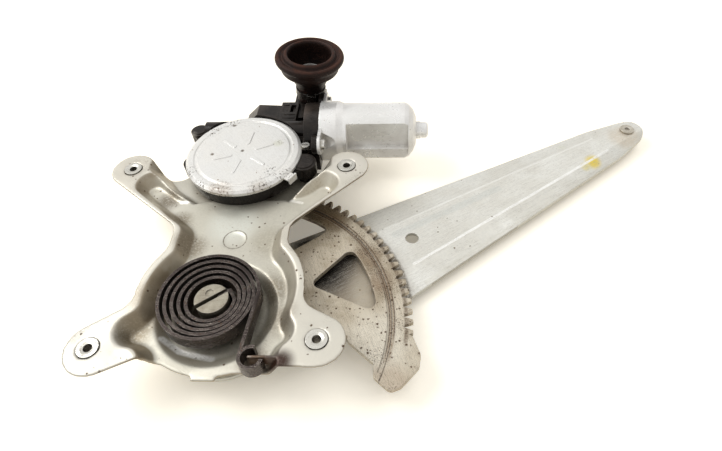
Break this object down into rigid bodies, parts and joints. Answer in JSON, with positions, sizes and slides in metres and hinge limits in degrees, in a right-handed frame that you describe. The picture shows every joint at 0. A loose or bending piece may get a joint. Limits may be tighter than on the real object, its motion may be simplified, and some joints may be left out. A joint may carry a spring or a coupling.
{
  "type": "window regulator",
  "caption": "Powered single-arm window regulator: stamped base plate with threaded ears, spiral balance spring, toothed sector with a long lift arm, and a worm-geared electric motor.",
  "frame": {"origin": "midway between the two upper mounting holes, on the ears' top face", "axes": "+X towards the right-hand upper hole, +Y towards the gearmotor, +Z away from the plate on the spring's side, along the mounting holes"},
  "size_m": [0.3874, 0.2571, 0.0821],
  "materials": {
    "zinc_sheet": "zinc plate, slightly yellowed",
    "gear_sheet": "zinc plate, greasy",
    "arm_sheet": "zinc plate, bright",
    "nut_steel": "zinc plated",
    "pin_steel": "oiled",
    "spring_steel": "dark, oiled",
    "cover_sheet": "satin white",
    "black_plastic": "glass-filled, semi-gloss",
    "white_plastic": "natural",
    "grey_plastic": "plain",
    "rubber": "dark brown black",
    "can_steel": "silver, satin",
    "bright_steel": "machined",
    "ferrite": "dark grey ferrite",
    "iron": "stacked laminations",
    "copper": "copper",
    "bronze": "sintered bronze",
    "carbon": "carbon"
  },
  "bodies": {
    "base": {"base_plate": "zinc_sheet", "ear_nuts": "nut_steel", "pivot_bush": "bronze", "spiral_spring": "spring_steel", "gear_housing": "black_plastic", "gear_cover": "cover_sheet", "cover_seal": "rubber", "shaft_bush": "bronze", "mount_screws": "bright_steel", "housing_screw": "bright_steel", "yoke": "can_steel", "yoke_screws": "bright_steel", "magnets": "ferrite", "rear_bearing": "bronze", "front_bearing": "bronze", "thrust_ball": "bright_steel", "thrust_plug": "black_plastic", "brush_holder": "grey_plastic", "brushes": "carbon", "brush_springs": "bright_steel", "connector_socket": "grey_plastic", "terminals": "copper", "connector_boot": "rubber", "boot_clip": "nut_steel"},
    "lift_arm": {"sector_gear": "gear_sheet", "lift_arm": "arm_sheet", "arm_rivets": "pin_steel", "pivot_pin": "pin_steel", "pivot_washer": "bright_steel", "tip_stud": "pin_steel"},
    "drive_wheel": {"output_pinion": "bright_steel", "worm_wheel": "white_plastic", "damper_rubbers": "rubber", "drive_plate": "bright_steel", "shaft_ring": "bright_steel"},
    "armature": {"armature_shaft": "bright_steel", "armature_core": "iron", "windings": "copper", "commutator": "copper"}
  },
  "joints": [
    {"name": "arm_swing", "type": "hinge", "parent": "base", "child": "lift_arm", "pos_m": [0.0065, -0.11, 0], "axis": [0, 0, 1], "range_deg": [-8, 85], "deforming": ["spiral_spring"]},
    {"name": "wheel_spin", "type": "hinge", "parent": "base", "child": "drive_wheel", "pos_m": [0.00226, 0.01143, 0], "axis": [0, 0, 1], "range_deg": [-835, 80]},
    {"name": "armature_spin", "type": "hinge", "parent": "base", "child": "armature", "pos_m": [0.0028, 0.04242, -0.003], "axis": [0.9998, -0.0175, 0], "continuous": true}
  ],
  "couplings": [
    {"joint": "wheel_spin", "follows": "arm_swing", "ratio": -9.8},
    {"joint": "armature_spin", "follows": "arm_swing", "ratio": 519.4}
  ]
}
